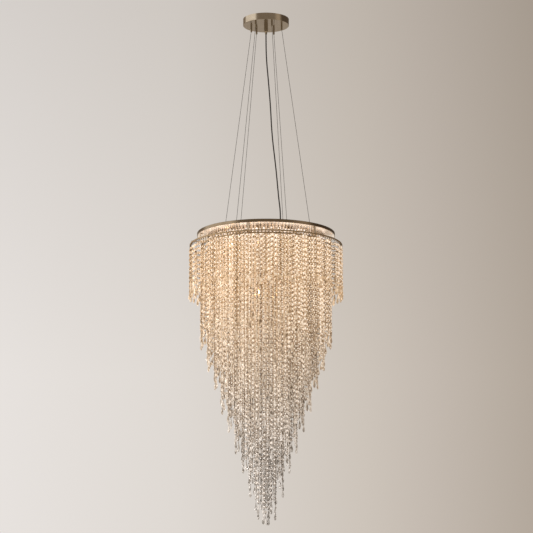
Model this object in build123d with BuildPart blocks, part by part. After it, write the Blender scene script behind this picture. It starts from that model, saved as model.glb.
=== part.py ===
from build123d import *

import os
from math import cos, pi, radians, sin, tan

# Round crystal chandelier: a ceiling canopy, six steel wires and a power cable carry a lit frame
# from which rings of octagon crystals hang as an upside-down cone.
# Millimetres, +Z up. The origin is on the ceiling, at the middle of the canopy.

# ---- ceiling canopy
canopy_radius = 92
canopy_height = 27
canopy_wall = 1.2
canopy_floor = 1.5
plate_radius = 87
plate_thickness = 4
bolt_circle_radius = 76
bolt_hole_radius = 3.5
bolt_start_angle = 10
supply_hole_y = -35
supply_hole_radius = 10
supply_bore_radius = 7.5

# ---- suspension, spaced unevenly around the canopy
wire_angles = (-4, 60, 127, 160, 229, 292)
wire_radius = 0.75
wire_top_circle = 63
wire_bottom_circle = 178
stud_radius = 2
stud_bore_radius = 2.05
gripper_radius = 3.5
gripper_length = 20
gripper_pivot_depth = 15
top_ball_radius = 1.75
bottom_ball_radius = 2.8

# ---- power cable
cable_radius = 2.5
cable_bore_radius = 2.55
core_radius = 0.75
core_spacing = 1.65
frame_gland_x = 57
canopy_gland_radius = 8
canopy_gland_hole_radius = 5.2
canopy_gland_body = 26
canopy_gland_nose = 9

# ---- frame: polished plate, rim band and lid
frame_top = -884
frame_radius = 272.5
rim_height = 12
rim_wall = 2
plate_gap = 0.3
mirror_thickness = 2
lid_thickness = 1.2
wiring_cover_radius = 80
wiring_cover_height = 30
wiring_flange_radius = 92
cover_screw_circle = 86
cover_screw_start = 21.75
anchor_height = 11.5
anchor_radius = 5.7

# ---- two hoops below the frame, which carry the outermost strands
hoop_radii = (300, 255)
hoop_width = 4
hoop_top = -932
hoop_height = 5
bracket_count = 6
bracket_start_angle = 15
bracket_width = 10
bracket_thickness = 2
bracket_screw_circle = 261.5
hoop_screw_radius = 1.2

# ---- lamps: one ring of stems for each level (radius, first angle, count, stem length below frame)
lamp_levels = ((160.5, 33, 8, 12), (106.5, 4, 4, 112), (52.5, 55.5, 4, 192))
stem_radius = 4
stem_bore = 3
stem_grip = 4
holder_radius = 8
holder_height = 20
bulb_radius = 7
bulb_length = 44
bulb_wall = 0.8
lead_radius = 1
lead_circle = 8

# ---- crystal strands
crystal_pitch = 18.2
hook_length = 8
drop_length = 40
strand_width = 10.6
crystal_width = 13.4
link_width = 3
strand_thickness = 3.5
strand_tip_half = 1.2
strand_spacing = 14
tier_pitch = 27
outer_tier_radius = 255
tier_count = 9
inner_tier_radius = 19.5
cone_tip = -2075
cone_slope = 3.074
hoop_strand_crystals = 8
centre_strand_crystals = 60
# crystals that neighbouring strands have more or fewer, in turn around each ring
hoop_pattern = (0, 1, -1)
tier_pattern = (0, 3, -2, 1, -1, 2)
inner_pattern = (-1, 1, -3, -2, 1, 0)

# ---- worked out from the above
canopy_underside = -canopy_height
top_pivot_z = canopy_underside - gripper_pivot_depth
frame_underside = frame_top - rim_height
inner_disc_radius = frame_radius - rim_wall - plate_gap
lid_underside = frame_top - lid_thickness
mirror_top = frame_underside + mirror_thickness
wiring_cover_top = frame_top + wiring_cover_height
bottom_pivot_z = frame_top + 6
canopy_nose_end = canopy_underside - canopy_gland_body - canopy_gland_nose
frame_gland_end = wiring_cover_top + 26
block_bottom = frame_top + 10
hoop_underside = hoop_top - hoop_height

os.makedirs("parts", exist_ok=True)


def save(piece, name):
    piece.label = name
    export_step(piece, f"parts/{name}.step")
    print(f"{name}: {len(piece.solids())} solids, {piece.volume:.0f} mm3")


def around(radius, angles):
    return [(radius * cos(radians(a)), radius * sin(radians(a))) for a in angles]


def spread(count, start):
    return [start + 360 * k / count for k in range(count)]


def ring_section(points):
    """Turned ring or cup from its half section, listed as (radius, height)."""
    with BuildPart() as ring:
        with BuildSketch(Plane.XZ):
            with BuildLine():
                Polyline(*points, close=True)
            make_face()
        revolve(axis=Axis.Z)
    return ring.part


def hex_nut(across_flats, height, bore_radius):
    with BuildPart() as nut:
        with BuildSketch():
            RegularPolygon(across_flats / 2, 6, major_radius=False)
            Circle(bore_radius, mode=Mode.SUBTRACT)
        extrude(amount=height)
    return nut.part


def pan_screw(head_radius, head_height, shank_radius, shank_length):
    """Screw standing on its shank, with the underside of its head at height zero.
    A clamp screw, sunk in its block, shows only its head."""
    with BuildPart() as screw:
        Cylinder(head_radius, head_height, align=(Align.CENTER, Align.CENTER, Align.MIN))
        fillet(screw.edges().filter_by(GeomType.CIRCLE).group_by(Axis.Z)[-1], head_height * 0.4)
        if shank_length:
            Cylinder(shank_radius, shank_length, align=(Align.CENTER, Align.CENTER, Align.MAX))
        with BuildSketch(Plane.XY.offset(head_height)):
            Rectangle(head_radius * 1.3, 0.6)
            Rectangle(0.6, head_radius * 1.3)
        extrude(amount=-head_height / 2, mode=Mode.SUBTRACT)
    return screw.part


def tube(points, corner_radii, radius):
    """Round wire or cable along straight runs joined by arcs."""
    with BuildPart() as cable:
        with BuildLine() as route:
            FilletPolyline(*points, radius=corner_radii)
        start = Plane(origin=route.line @ 0, z_dir=route.line % 0)
        with BuildSketch(start):
            Circle(radius)
        sweep()
    return cable.part


def corner_radii(points, share=0.45):
    """The largest arcs that the two runs at each corner allow."""
    vectors = [Vector(*p) for p in points]
    radii = []
    for before, corner, after in zip(vectors, vectors[1:], vectors[2:]):
        turn = (corner - before).get_angle(after - corner)
        shorter = min((corner - before).length, (after - corner).length)
        radii.append(share * shorter / tan(radians(turn / 2)))
    return radii


wire_tops = around(wire_top_circle, wire_angles)
wire_bottoms = around(wire_bottom_circle, wire_angles)


# ---- canopy: ceiling plate and what it carries
def make_ceiling_plate():
    with BuildPart() as ceiling_plate:
        with BuildSketch(Plane.XY.offset(-plate_thickness)):
            Circle(plate_radius)
            with PolarLocations(bolt_circle_radius, 4, start_angle=bolt_start_angle):
                Circle(bolt_hole_radius, mode=Mode.SUBTRACT)
            with Locations((0, supply_hole_y)):
                Circle(supply_hole_radius, mode=Mode.SUBTRACT)
        extrude(amount=plate_thickness)
        with BuildSketch(Plane.XY.offset(-plate_thickness)):
            with Locations(*wire_tops):
                Circle(stud_bore_radius)
        extrude(amount=plate_thickness - 1, mode=Mode.SUBTRACT)
    save(ceiling_plate.part, "ceiling_plate")


def make_supply_grommet():
    flange_radius = 12.5
    flange_underside = -plate_thickness - 1.5
    with BuildPart() as supply_grommet:
        with Locations((0, supply_hole_y, 0)):
            add(ring_section([
                (supply_bore_radius, -0.5), (supply_hole_radius - 0.1, -0.5),
                (supply_hole_radius - 0.1, -plate_thickness), (flange_radius, -plate_thickness),
                (flange_radius, flange_underside), (supply_bore_radius, flange_underside),
            ]))
    save(supply_grommet.part, "supply_grommet")


def make_canopy_cover():
    with BuildPart() as canopy_cover:
        Cylinder(canopy_radius, canopy_height, align=(Align.CENTER, Align.CENTER, Align.MAX))
        chamfer(canopy_cover.edges().group_by(Axis.Z)[0], 0.8)
        with BuildSketch(Plane.XY):
            Circle(canopy_radius - canopy_wall)
        extrude(amount=canopy_floor - canopy_height, mode=Mode.SUBTRACT)
        with BuildSketch(Plane.XY.offset(canopy_underside)):
            Circle(canopy_gland_hole_radius)
            with Locations(*wire_tops):
                Circle(stud_radius + 0.25)
        extrude(amount=canopy_floor, mode=Mode.SUBTRACT)
    save(canopy_cover.part, "canopy_cover")


def make_standoff_studs():
    stud_top = -1.2
    stud_length = canopy_height + 5.5 + stud_top
    with BuildPart(Plane.XY.offset(stud_top)) as standoff_studs:
        with Locations(*wire_tops):
            Cylinder(stud_radius, stud_length, align=(Align.CENTER, Align.CENTER, Align.MAX))
    save(standoff_studs.part, "standoff_studs")


def make_stud_nuts():
    with BuildPart(Plane.XY.offset(canopy_underside + canopy_floor)) as stud_nuts:
        with Locations(*wire_tops):
            add(hex_nut(7, 3.2, stud_bore_radius))
    save(stud_nuts.part, "stud_nuts")


def make_wire_grippers():
    """Barrels under the canopy. Each is bored from above and ends in a round seat for the wire's ball."""
    pivot = -gripper_pivot_depth
    seat_lip_depth = 1.54
    seat_lip_radius = 1.35
    mouth_radius = 2.3
    with BuildPart() as gripper:
        with BuildSketch(Plane.XZ):
            with BuildLine():
                Polyline((stud_bore_radius, pivot), (stud_bore_radius, 0), (gripper_radius, 0),
                         (gripper_radius, 1 - gripper_length), (gripper_radius - 0.6, -gripper_length),
                         (mouth_radius, -gripper_length), (seat_lip_radius, pivot - seat_lip_depth))
                RadiusArc((seat_lip_radius, pivot - seat_lip_depth), (stud_bore_radius, pivot),
                          -stud_bore_radius)
            make_face()
        revolve(axis=Axis.Z)
    with BuildPart(Plane.XY.offset(canopy_underside)) as wire_grippers:
        with Locations(*wire_tops):
            add(gripper.part)
    save(wire_grippers.part, "wire_grippers")


def make_canopy_terminal_block():
    block_z = -plate_thickness
    with BuildPart(Plane((0, 35, block_z))) as canopy_terminal_block:
        Box(30, 20, 14, align=(Align.CENTER, Align.CENTER, Align.MAX))
        chamfer(canopy_terminal_block.edges().group_by(Axis.Z)[0], 1)
    save(canopy_terminal_block.part, "canopy_terminal_block")

    with BuildPart(Plane((0, 35, block_z - 14), x_dir=(1, 0, 0), z_dir=(0, 0, -1))) as screws:
        with GridLocations(8, 10, 3, 2):
            add(pan_screw(1.8, 1, 1, 0))
    save(screws.part, "canopy_terminal_screws")


def make_earth_terminal():
    spot = (-35, -20)
    ring_radius = 5.2
    with BuildPart() as earth_terminal:
        with Locations((*spot, -plate_thickness)):
            Cylinder(stud_radius, 10, align=(Align.CENTER, Align.CENTER, Align.MAX))
        with Locations((*spot, -plate_thickness - 4.1)):
            add(hex_nut(7, 3.2, stud_bore_radius))
    save(earth_terminal.part, "earth_terminal")

    with BuildPart() as earth_lead:
        with BuildSketch(Plane.XY.offset(-plate_thickness - 0.9)):
            with Locations(spot):
                Circle(ring_radius)
                Circle(2.2, mode=Mode.SUBTRACT)
        extrude(amount=0.8)
        add(tube([(-35, -15.2, -5), (-35, 8, -9), (-29, 26, -11), (-15, 32, -11)],
                 [20, 20], core_radius))
    save(earth_lead.part, "earth_lead")


def make_canopy_gland():
    body_end = canopy_underside - canopy_gland_body
    with BuildPart() as canopy_gland:
        add(ring_section([
            (cable_bore_radius, canopy_underside + 7), (5, canopy_underside + 7),
            (5, canopy_underside), (canopy_gland_radius, canopy_underside),
            (canopy_gland_radius, body_end + 1.5), (canopy_gland_radius - 1.5, body_end),
            (4.6, body_end - 2), (4.2, canopy_nose_end), (cable_bore_radius, canopy_nose_end),
        ]))
        with BuildSketch(Plane.XY.offset(canopy_underside - 9)):
            Circle(canopy_gland_radius + 1)
            Circle(canopy_gland_radius - 0.5, mode=Mode.SUBTRACT)
        extrude(amount=-1, mode=Mode.SUBTRACT)
    save(canopy_gland.part, "canopy_gland")

    with BuildPart(Plane.XY.offset(canopy_underside + canopy_floor)) as canopy_gland_nut:
        add(hex_nut(15, 3.5, 5.05))
    save(canopy_gland_nut.part, "canopy_gland_nut")


def make_canopy_wiring():
    tail_top = -17
    with BuildPart(Plane.XY.offset(canopy_nose_end)) as canopy_cable_tail:
        Cylinder(cable_radius, tail_top - canopy_nose_end,
                 align=(Align.CENTER, Align.CENTER, Align.MIN))
    save(canopy_cable_tail.part, "canopy_cable_tail")

    level = -11
    with BuildPart() as canopy_cores:
        for side in (-1, 0, 1):
            x = side * core_spacing
            add(tube([(x, 0, tail_top), (x, 0, level), (side * 8, 25, level)], [3], core_radius))
    save(canopy_cores.part, "canopy_cores")


# ---- wires and power cable
def make_wires():
    """Each wire runs between the middles of its two swaged balls."""
    for number, (top, bottom) in enumerate(zip(wire_tops, wire_bottoms), start=1):
        upper = Vector(*top, top_pivot_z)
        lower = Vector(*bottom, bottom_pivot_z)
        with BuildPart(Plane(origin=upper, z_dir=upper - lower)) as wire:
            Cylinder(wire_radius, (upper - lower).length,
                     align=(Align.CENTER, Align.CENTER, Align.MAX))
            Sphere(top_ball_radius)
            with Locations((0, 0, -(upper - lower).length)):
                Sphere(bottom_ball_radius)
        save(wire.part, f"suspension_wire_{number}")


cable_route = [
    (0, 0, canopy_nose_end), (0, 0, -120), (2.6, -1.8, -180), (8.2, -4.6, -242),
    (13.6, -6.6, -308), (18.4, -7.6, -374), (21.4, -7.4, -440), (26.4, -6.4, -506),
    (34.2, -4.8, -572), (41.2, -3.2, -636), (46.4, -1.8, -696), (51.6, -0.6, -750),
    (frame_gland_x, 0, -792), (frame_gland_x, 0, frame_gland_end),
]


def make_power_cable():
    radii = corner_radii(cable_route)
    with BuildPart() as power_cable:
        add(tube(cable_route, radii, cable_radius))
        length = power_cable.part.volume / (pi * cable_radius**2)
    direct = sum((Vector(*b) - Vector(*a)).length for a, b in zip(cable_route, cable_route[1:]))
    print("cable bend radii:", [round(r) for r in radii])
    print(f"cable length from its volume {length:.1f}, along its route {direct:.1f}")
    save(power_cable.part, "power_cable")


# ---- frame
def make_mirror_plate():
    with BuildPart() as mirror_plate:
        with BuildSketch(Plane.XY.offset(frame_underside)):
            Circle(inner_disc_radius)
            for radius, start, count, _ in lamp_levels:
                with PolarLocations(radius, count, start_angle=start):
                    Circle(stem_radius + 0.15, mode=Mode.SUBTRACT)
            with PolarLocations(bracket_screw_circle, bracket_count,
                                start_angle=bracket_start_angle):
                Circle(1.6, mode=Mode.SUBTRACT)
        extrude(amount=mirror_thickness)
    save(mirror_plate.part, "mirror_plate")


def make_rim_band():
    """Band with two inner ledges: the plate is welded under one, the lid lies on the other."""
    inside = frame_radius - rim_wall
    ledge = inside - 2
    bevel = 0.6
    section = [
        (inside, frame_underside), (frame_radius - bevel, frame_underside),
        (frame_radius, frame_underside + bevel), (frame_radius, frame_top - bevel),
        (frame_radius - bevel, frame_top), (inside, frame_top), (inside, lid_underside),
        (ledge, lid_underside), (ledge, lid_underside - 2), (inside, lid_underside - 2),
        (inside, mirror_top + 2), (ledge, mirror_top + 2), (ledge, mirror_top),
        (inside, mirror_top),
    ]
    with BuildPart() as rim_band:
        add(ring_section(section))
    save(rim_band.part, "rim_band")


def make_frame_lid():
    with BuildPart() as frame_lid:
        with BuildSketch(Plane.XY.offset(lid_underside)):
            Circle(inner_disc_radius)
            Circle(12.5, mode=Mode.SUBTRACT)
            with Locations(*wire_bottoms):
                Circle(stud_radius + 0.2, mode=Mode.SUBTRACT)
            with PolarLocations(cover_screw_circle, 4, start_angle=cover_screw_start):
                Circle(1.7, mode=Mode.SUBTRACT)
        extrude(amount=lid_thickness)
    save(frame_lid.part, "frame_lid")


def make_wire_anchors():
    """Cups on the lid: each wire's lower ball sits in its cup, under a lip that the wire passes."""
    cup_radius = 3.9
    cup_floor = 2
    cup_top = 9
    lip_radius = 2.6
    spigot_depth = 8
    section = [
        (0, -spigot_depth), (stud_radius, -spigot_depth), (stud_radius, 0), (anchor_radius, 0),
        (anchor_radius, anchor_height - 1), (anchor_radius - 1, anchor_height),
        (lip_radius, anchor_height), (lip_radius, cup_top + 0.5), (cup_radius, cup_top + 0.5),
        (cup_radius, cup_floor), (0, cup_floor),
    ]
    with BuildPart(Plane.XY.offset(frame_top)) as wire_anchors:
        with Locations(*wire_bottoms):
            add(ring_section(section))
    save(wire_anchors.part, "wire_anchors")

    with BuildPart() as anchor_spacers:
        with BuildSketch(Plane.XY.offset(mirror_top)):
            with Locations(*wire_bottoms):
                Circle(5)
                Circle(stud_bore_radius, mode=Mode.SUBTRACT)
        extrude(amount=lid_underside - mirror_top)
    save(anchor_spacers.part, "anchor_spacers")


def make_wiring_cover():
    wall = 1.2
    inner = wiring_cover_radius - wall
    section = [
        (inner, frame_top), (wiring_flange_radius, frame_top),
        (wiring_flange_radius, frame_top + wall), (wiring_cover_radius, frame_top + wall),
        (wiring_cover_radius, wiring_cover_top - 3), (wiring_cover_radius - 3, wiring_cover_top),
        (0, wiring_cover_top), (0, wiring_cover_top - wall),
        (inner - 3, wiring_cover_top - wall), (inner, wiring_cover_top - wall - 3),
    ]
    with BuildPart() as wiring_cover:
        add(ring_section(section))
        with BuildSketch(Plane.XY.offset(frame_top)):
            with PolarLocations(cover_screw_circle, 4, start_angle=cover_screw_start):
                Circle(1.7)
        extrude(amount=wall, mode=Mode.SUBTRACT)
        with BuildSketch(Plane.XY.offset(wiring_cover_top)):
            with Locations((frame_gland_x, 0)):
                Circle(5.2)
        extrude(amount=-wall, mode=Mode.SUBTRACT)
    save(wiring_cover.part, "wiring_cover")

    with BuildPart(Plane.XY.offset(frame_top + wall)) as cover_screws:
        with PolarLocations(cover_screw_circle, 4, start_angle=cover_screw_start):
            add(pan_screw(2.75, 2, 1.5, 5.5))
    save(cover_screws.part, "cover_screws")

    with BuildPart(Plane.XY.offset(lid_underside - 2.4)) as cover_nuts:
        with PolarLocations(cover_screw_circle, 4, start_angle=cover_screw_start):
            add(hex_nut(5.5, 2.4, 1.55))
    save(cover_nuts.part, "cover_nuts")


def make_frame_gland():
    with BuildPart(Plane((frame_gland_x, 0, wiring_cover_top))) as frame_gland:
        add(ring_section([
            (cable_bore_radius, -6), (5, -6), (5, 0), (7, 0), (7, 5), (6.5, 6), (6.5, 17),
            (4.6, 21), (4.2, 26), (cable_bore_radius, 26),
        ]))
    save(frame_gland.part, "frame_gland")

    with BuildPart(Plane((frame_gland_x, 0, wiring_cover_top - 4.2))) as frame_gland_nut:
        add(hex_nut(14, 3, 5.05))
    save(frame_gland_nut.part, "frame_gland_nut")


def make_frame_wiring():
    tail_bottom = wiring_cover_top - 8
    with BuildPart(Plane((frame_gland_x, 0, tail_bottom))) as frame_cable_tail:
        Cylinder(cable_radius, frame_gland_end - tail_bottom,
                 align=(Align.CENTER, Align.CENTER, Align.MIN))
    save(frame_cable_tail.part, "frame_cable_tail")

    block_half_length = 24
    level = tail_bottom - 5
    with BuildPart() as frame_cores:
        for side in (-1, 0, 1):
            y = side * core_spacing
            add(tube([(frame_gland_x, y, tail_bottom), (frame_gland_x, y, level),
                      (block_half_length, side * 5, level)], [3], core_radius))
    save(frame_cores.part, "frame_cores")

    block_height = 14
    with BuildPart(Plane.XY.offset(block_bottom)) as frame_terminal_block:
        Box(2 * block_half_length, 24, block_height, align=(Align.CENTER, Align.CENTER, Align.MIN))
        chamfer(frame_terminal_block.edges().group_by(Axis.Z)[-1], 1)
        with Locations((block_half_length - 2, 0, 0), (2 - block_half_length, 0, 0)):
            Box(4, 24, 10, align=(Align.CENTER, Align.CENTER, Align.MAX))
    save(frame_terminal_block.part, "frame_terminal_block")

    with BuildPart(Plane.XY.offset(block_bottom + block_height)) as frame_terminal_screws:
        with GridLocations(11, 12, 4, 2):
            add(pan_screw(2.2, 1, 1.2, 0))
    save(frame_terminal_screws.part, "frame_terminal_screws")

    with BuildPart() as lead_grommet:
        add(ring_section([
            (10, lid_underside - 1.2), (13.8, lid_underside - 1.2), (13.8, lid_underside),
            (12.4, lid_underside), (12.4, frame_top), (13.8, frame_top), (13.8, frame_top + 1.2),
            (10, frame_top + 1.2),
        ]))
    save(lead_grommet.part, "lead_grommet")


# ---- hoops and their brackets
def make_strand_hoops():
    bevel = 0.5
    screw_depth = 3.5
    with BuildPart() as strand_hoops:
        for radius in hoop_radii:
            inner, outer = radius - hoop_width / 2, radius + hoop_width / 2
            add(ring_section([
                (inner, hoop_underside), (outer - bevel, hoop_underside),
                (outer, hoop_underside + bevel), (outer, hoop_top - bevel),
                (outer - bevel, hoop_top), (inner, hoop_top),
            ]))
        with BuildSketch(Plane.XY.offset(hoop_top)):
            for radius in hoop_radii:
                with PolarLocations(radius, bracket_count, start_angle=bracket_start_angle):
                    Circle(hoop_screw_radius + 0.05)
        extrude(amount=-screw_depth, mode=Mode.SUBTRACT)
    save(strand_hoops.part, "strand_hoops")


def make_hoop_brackets():
    """Each bracket has a foot under the plate, a leg, and an arm that lies on both hoops."""
    top = frame_underside
    arm_top = hoop_top + bracket_thickness
    foot_inner = 256
    leg_inner = 266
    leg_outer = leg_inner + bracket_thickness
    overhang = 2.5
    arm_inner, arm_outer = hoop_radii[1] - overhang, hoop_radii[0] + overhang
    foot_hole_radius = 1.7
    driver_hole_radius = 2.8
    section = [
        (foot_inner, top), (leg_outer, top), (leg_outer, arm_top), (arm_outer, arm_top),
        (arm_outer, hoop_top), (arm_inner, hoop_top), (arm_inner, arm_top), (leg_inner, arm_top),
        (leg_inner, top - bracket_thickness), (foot_inner, top - bracket_thickness),
    ]
    with BuildPart() as bracket:
        with BuildSketch(Plane.XZ):
            with BuildLine():
                Polyline(*section, close=True)
            make_face()
        extrude(amount=bracket_width / 2, both=True)
        with BuildSketch(Plane.XY.offset(top)):
            with Locations((bracket_screw_circle, 0)):
                Circle(foot_hole_radius)
        extrude(amount=-bracket_thickness, mode=Mode.SUBTRACT)
        with BuildSketch(Plane.XY.offset(arm_top)):
            with Locations((bracket_screw_circle, 0)):
                Circle(driver_hole_radius)
            with Locations(*((radius, 0) for radius in hoop_radii)):
                Circle(hoop_screw_radius + 0.1)
        extrude(amount=-bracket_thickness, mode=Mode.SUBTRACT)
    with BuildPart() as hoop_brackets:
        with PolarLocations(0, bracket_count, start_angle=bracket_start_angle):
            add(bracket.part)
    save(hoop_brackets.part, "hoop_brackets")

    with BuildPart(Plane.XY.offset(top - bracket_thickness)) as bracket_screws:
        with PolarLocations(bracket_screw_circle, bracket_count, start_angle=bracket_start_angle):
            add(pan_screw(2.75, 1.8, 1.5, 5).rotate(Axis.X, 180))
    save(bracket_screws.part, "bracket_screws")

    with BuildPart(Plane.XY.offset(arm_top)) as hoop_screws:
        for radius in hoop_radii:
            with PolarLocations(radius, bracket_count, start_angle=bracket_start_angle):
                add(pan_screw(2.3, 1.4, hoop_screw_radius, 5))
    save(hoop_screws.part, "hoop_screws")


# ---- lamps
def make_lamps():
    """Every lamp: hollow stem through the plate, nut, lamp holder, plug-in bulb, and its lead."""
    collar_radius = 6
    stem_top = frame_underside + 6.5
    base_radius = 6
    base_gap = 10.5
    base_height = 12
    pin_spacing = 6
    pin_radius = 0.6
    with BuildPart() as holder:
        Cylinder(holder_radius, holder_height, align=(Align.CENTER, Align.CENTER, Align.MAX))
        fillet(holder.edges().group_by(Axis.Z)[-1], 1)
        Cylinder(stem_radius + 0.05, stem_grip, align=(Align.CENTER, Align.CENTER, Align.MAX),
                 mode=Mode.SUBTRACT)
        Cylinder(1.6, holder_height, align=(Align.CENTER, Align.CENTER, Align.MAX),
                 mode=Mode.SUBTRACT)
        with BuildSketch(Plane.XY.offset(-holder_height)):
            Circle(base_radius + 0.2)
        extrude(amount=10, mode=Mode.SUBTRACT)
        with BuildSketch(Plane.XY.offset(-base_gap)):
            with GridLocations(pin_spacing, 1, 2, 1):
                Circle(pin_radius + 0.3)
        extrude(amount=5.5, mode=Mode.SUBTRACT)

    with BuildPart(Plane.XY.offset(-base_gap)) as base:
        Cylinder(base_radius, base_height, align=(Align.CENTER, Align.CENTER, Align.MAX))
        with GridLocations(pin_spacing, 1, 2, 1):
            Cylinder(pin_radius, 4, align=(Align.CENTER, Align.CENTER, Align.MIN))

    base_bottom = -base_gap - base_height
    glass_end = base_bottom - bulb_length
    inner = bulb_radius - bulb_wall
    with BuildPart() as glass:
        with BuildSketch(Plane.XZ):
            with BuildLine():
                Polyline((inner, glass_end + bulb_radius), (inner, base_bottom),
                         (bulb_radius, base_bottom), (bulb_radius, glass_end + bulb_radius))
                RadiusArc((bulb_radius, glass_end + bulb_radius), (0, glass_end), bulb_radius)
                Line((0, glass_end), (0, glass_end + bulb_wall))
                RadiusArc((0, glass_end + bulb_wall), (inner, glass_end + bulb_radius), -inner)
            make_face()
        revolve(axis=Axis.Z)

    with BuildPart(Plane.XY.offset(base_bottom)) as core:
        Cylinder(3, bulb_length - 10, align=(Align.CENTER, Align.CENTER, Align.MAX))
        fillet(core.edges().group_by(Axis.Z)[0], 1)

    stems, holders, bases, glasses, cores, leads, nuts = [], [], [], [], [], [], []
    for radius, start, count, drop in lamp_levels:
        holder_top = frame_underside - drop
        stem = ring_section([
            (stem_bore, holder_top - stem_grip), (stem_radius, holder_top - stem_grip),
            (stem_radius, frame_underside - 1.5), (collar_radius, frame_underside - 1.5),
            (collar_radius, frame_underside), (stem_radius, frame_underside),
            (stem_radius, stem_top), (stem_bore, stem_top),
        ])
        lead_level = stem_top + 1.6
        lead = tube([(lead_circle, 0, block_bottom), (lead_circle, 0, lead_level),
                     (radius, 0, lead_level), (radius, 0, holder_top - 9)], [2.6, 2.6], lead_radius)
        for angle in spread(count, start):
            turn = Location((0, 0, 0), (0, 0, angle))
            spot = turn * Location((radius, 0, 0))
            leads.append(lead.moved(turn))
            stems.append(stem.moved(spot))
            nuts.append(hex_nut(13, 4, stem_radius + 0.1).moved(spot * Location((0, 0, mirror_top))))
            lamp = spot * Location((0, 0, holder_top))
            for group, piece in ((holders, holder), (bases, base), (glasses, glass), (cores, core)):
                group.append(piece.part.moved(lamp))
    groups = (("lamp_stems", stems), ("stem_nuts", nuts), ("lamp_holders", holders),
              ("bulb_bases", bases), ("bulb_glasses", glasses), ("bulb_cores", cores),
              ("lamp_leads", leads))
    for name, pieces in groups:
        with BuildPart() as group:
            add(pieces)
        save(group.part, name)


# ---- crystal strands
def crystal_chain(crystals):
    """Half outline of an outermost strand, from its hook down: wide at crystals, narrow at links."""
    link, half = link_width / 2, crystal_width / 2
    outline = [(link, 0)]
    for number in range(crystals):
        top = -hook_length - number * crystal_pitch
        outline += [(link, top), (half, top - crystal_pitch / 2)]
    bottom = -hook_length - crystals * crystal_pitch
    drop_half, drop_shoulder = half * 0.8, drop_length * 0.3
    return outline + [(link, bottom), (drop_half, bottom - drop_shoulder),
                      (strand_tip_half, bottom - drop_length)]


def chain_strand(crystals):
    right = crystal_chain(crystals)
    left = [(-x, z) for x, z in reversed(right)]
    with BuildPart() as one:
        with BuildSketch(Plane.YZ):
            with BuildLine():
                Polyline(*right, *left, close=True)
            make_face()
        extrude(amount=strand_thickness / 2, both=True)
    return one.part


def strand(crystals, end_length=drop_length):
    """One plain strand from its hook down: crystals face outwards, and the last drop tapers to a point."""
    half = strand_width / 2
    length = hook_length + crystals * crystal_pitch + end_length
    taper = max(end_length * 0.75, 6)
    with BuildPart() as one:
        with BuildSketch(Plane.YZ):
            with BuildLine():
                Polyline((strand_tip_half, 0), (half, -hook_length - 3), (half, taper - length),
                         (strand_tip_half, -length), (-strand_tip_half, -length),
                         (-half, taper - length), (-half, -hook_length - 3), (-strand_tip_half, 0),
                         close=True)
            make_face()
        extrude(amount=strand_thickness / 2, both=True)
    return one.part


def make_tier(name, radius, top, crystals, pattern, make_strand=strand):
    """Ring of strands; the pattern makes neighbours some crystals longer or shorter."""
    steps = round(2 * pi * radius / (len(pattern) * strand_spacing))
    count = steps * len(pattern)
    with BuildPart(Plane.XY.offset(top)) as tier:
        for shift, change in enumerate(pattern):
            with PolarLocations(radius, steps, start_angle=shift * 360 / count):
                add(make_strand(crystals + change))
    save(tier.part, name)
    return count


def make_strands():
    """The outer tier hangs from the inner hoop, and every other tier from the plate."""
    total = make_tier("hoop_strands", hoop_radii[0], hoop_underside, hoop_strand_crystals,
                      hoop_pattern, chain_strand)
    radii = [outer_tier_radius - tier_pitch * k for k in range(tier_count)] + [inner_tier_radius]
    for number, radius in enumerate(radii, start=1):
        top = hoop_underside if number == 1 else frame_underside
        free_length = top - cone_tip - cone_slope * radius - hook_length - drop_length
        crystals = round(free_length / crystal_pitch)
        pattern = inner_pattern if radius == inner_tier_radius else tier_pattern
        total += make_tier(f"strand_tier_{number}", radius, top, crystals, pattern)
    print(f"strands: {total + 1}")


def make_centre_strand():
    """Strand on the axis. Its wire ring carries the lowest drop, which swings on it."""
    strand_top = frame_underside - plate_gap
    strand_bottom = strand_top - hook_length - centre_strand_crystals * crystal_pitch
    ring_radius = 3
    ring_wire = 0.5
    ring_middle = strand_bottom - 2
    hinge_z = ring_middle - ring_radius
    with BuildPart(Plane.XY.offset(strand_top)) as centre_strand:
        with Locations(Rotation(0, 0, 90)):
            add(strand(centre_strand_crystals, 0))
        with Locations(Location((0, 0, ring_middle - strand_top), (0, 90, 0))):
            Torus(ring_radius, ring_wire)
    save(centre_strand.part, "centre_strand")

    half = strand_width / 2
    neck_half = 2.6
    eye_half_thickness = 1
    front = Plane(origin=(0, 0, hinge_z), x_dir=(1, 0, 0), z_dir=(0, -1, 0))
    with BuildPart() as lowest_drop:
        with BuildSketch(front):
            Circle(neck_half + 0.2)
            with BuildLine():
                Polyline((-neck_half, -1), (neck_half, -1), (neck_half, -7), (-neck_half, -7),
                         close=True)
            make_face()
            Circle(1.3, mode=Mode.SUBTRACT)
        extrude(amount=eye_half_thickness, both=True)
        with BuildSketch(front):
            with BuildLine():
                Polyline((-neck_half, -5), (neck_half, -5), (half, -14), (0.6, -drop_length),
                         (-0.6, -drop_length), (-half, -14), close=True)
            make_face()
        extrude(amount=strand_thickness / 2, both=True)
    print(f"lowest drop swings about height {hinge_z:.1f}")
    save(lowest_drop.part, "lowest_drop")


make_ceiling_plate()
make_supply_grommet()
make_canopy_cover()
make_standoff_studs()
make_stud_nuts()
make_wire_grippers()
make_canopy_terminal_block()
make_earth_terminal()
make_canopy_gland()
make_canopy_wiring()
make_wires()
make_power_cable()
make_mirror_plate()
make_rim_band()
make_frame_lid()
make_wire_anchors()
make_wiring_cover()
make_frame_gland()
make_frame_wiring()
make_strand_hoops()
make_hoop_brackets()
make_lamps()
make_strands()
make_centre_strand()
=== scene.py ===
import math

import bmesh
import bpy
from mathutils import Matrix, Vector


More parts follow.
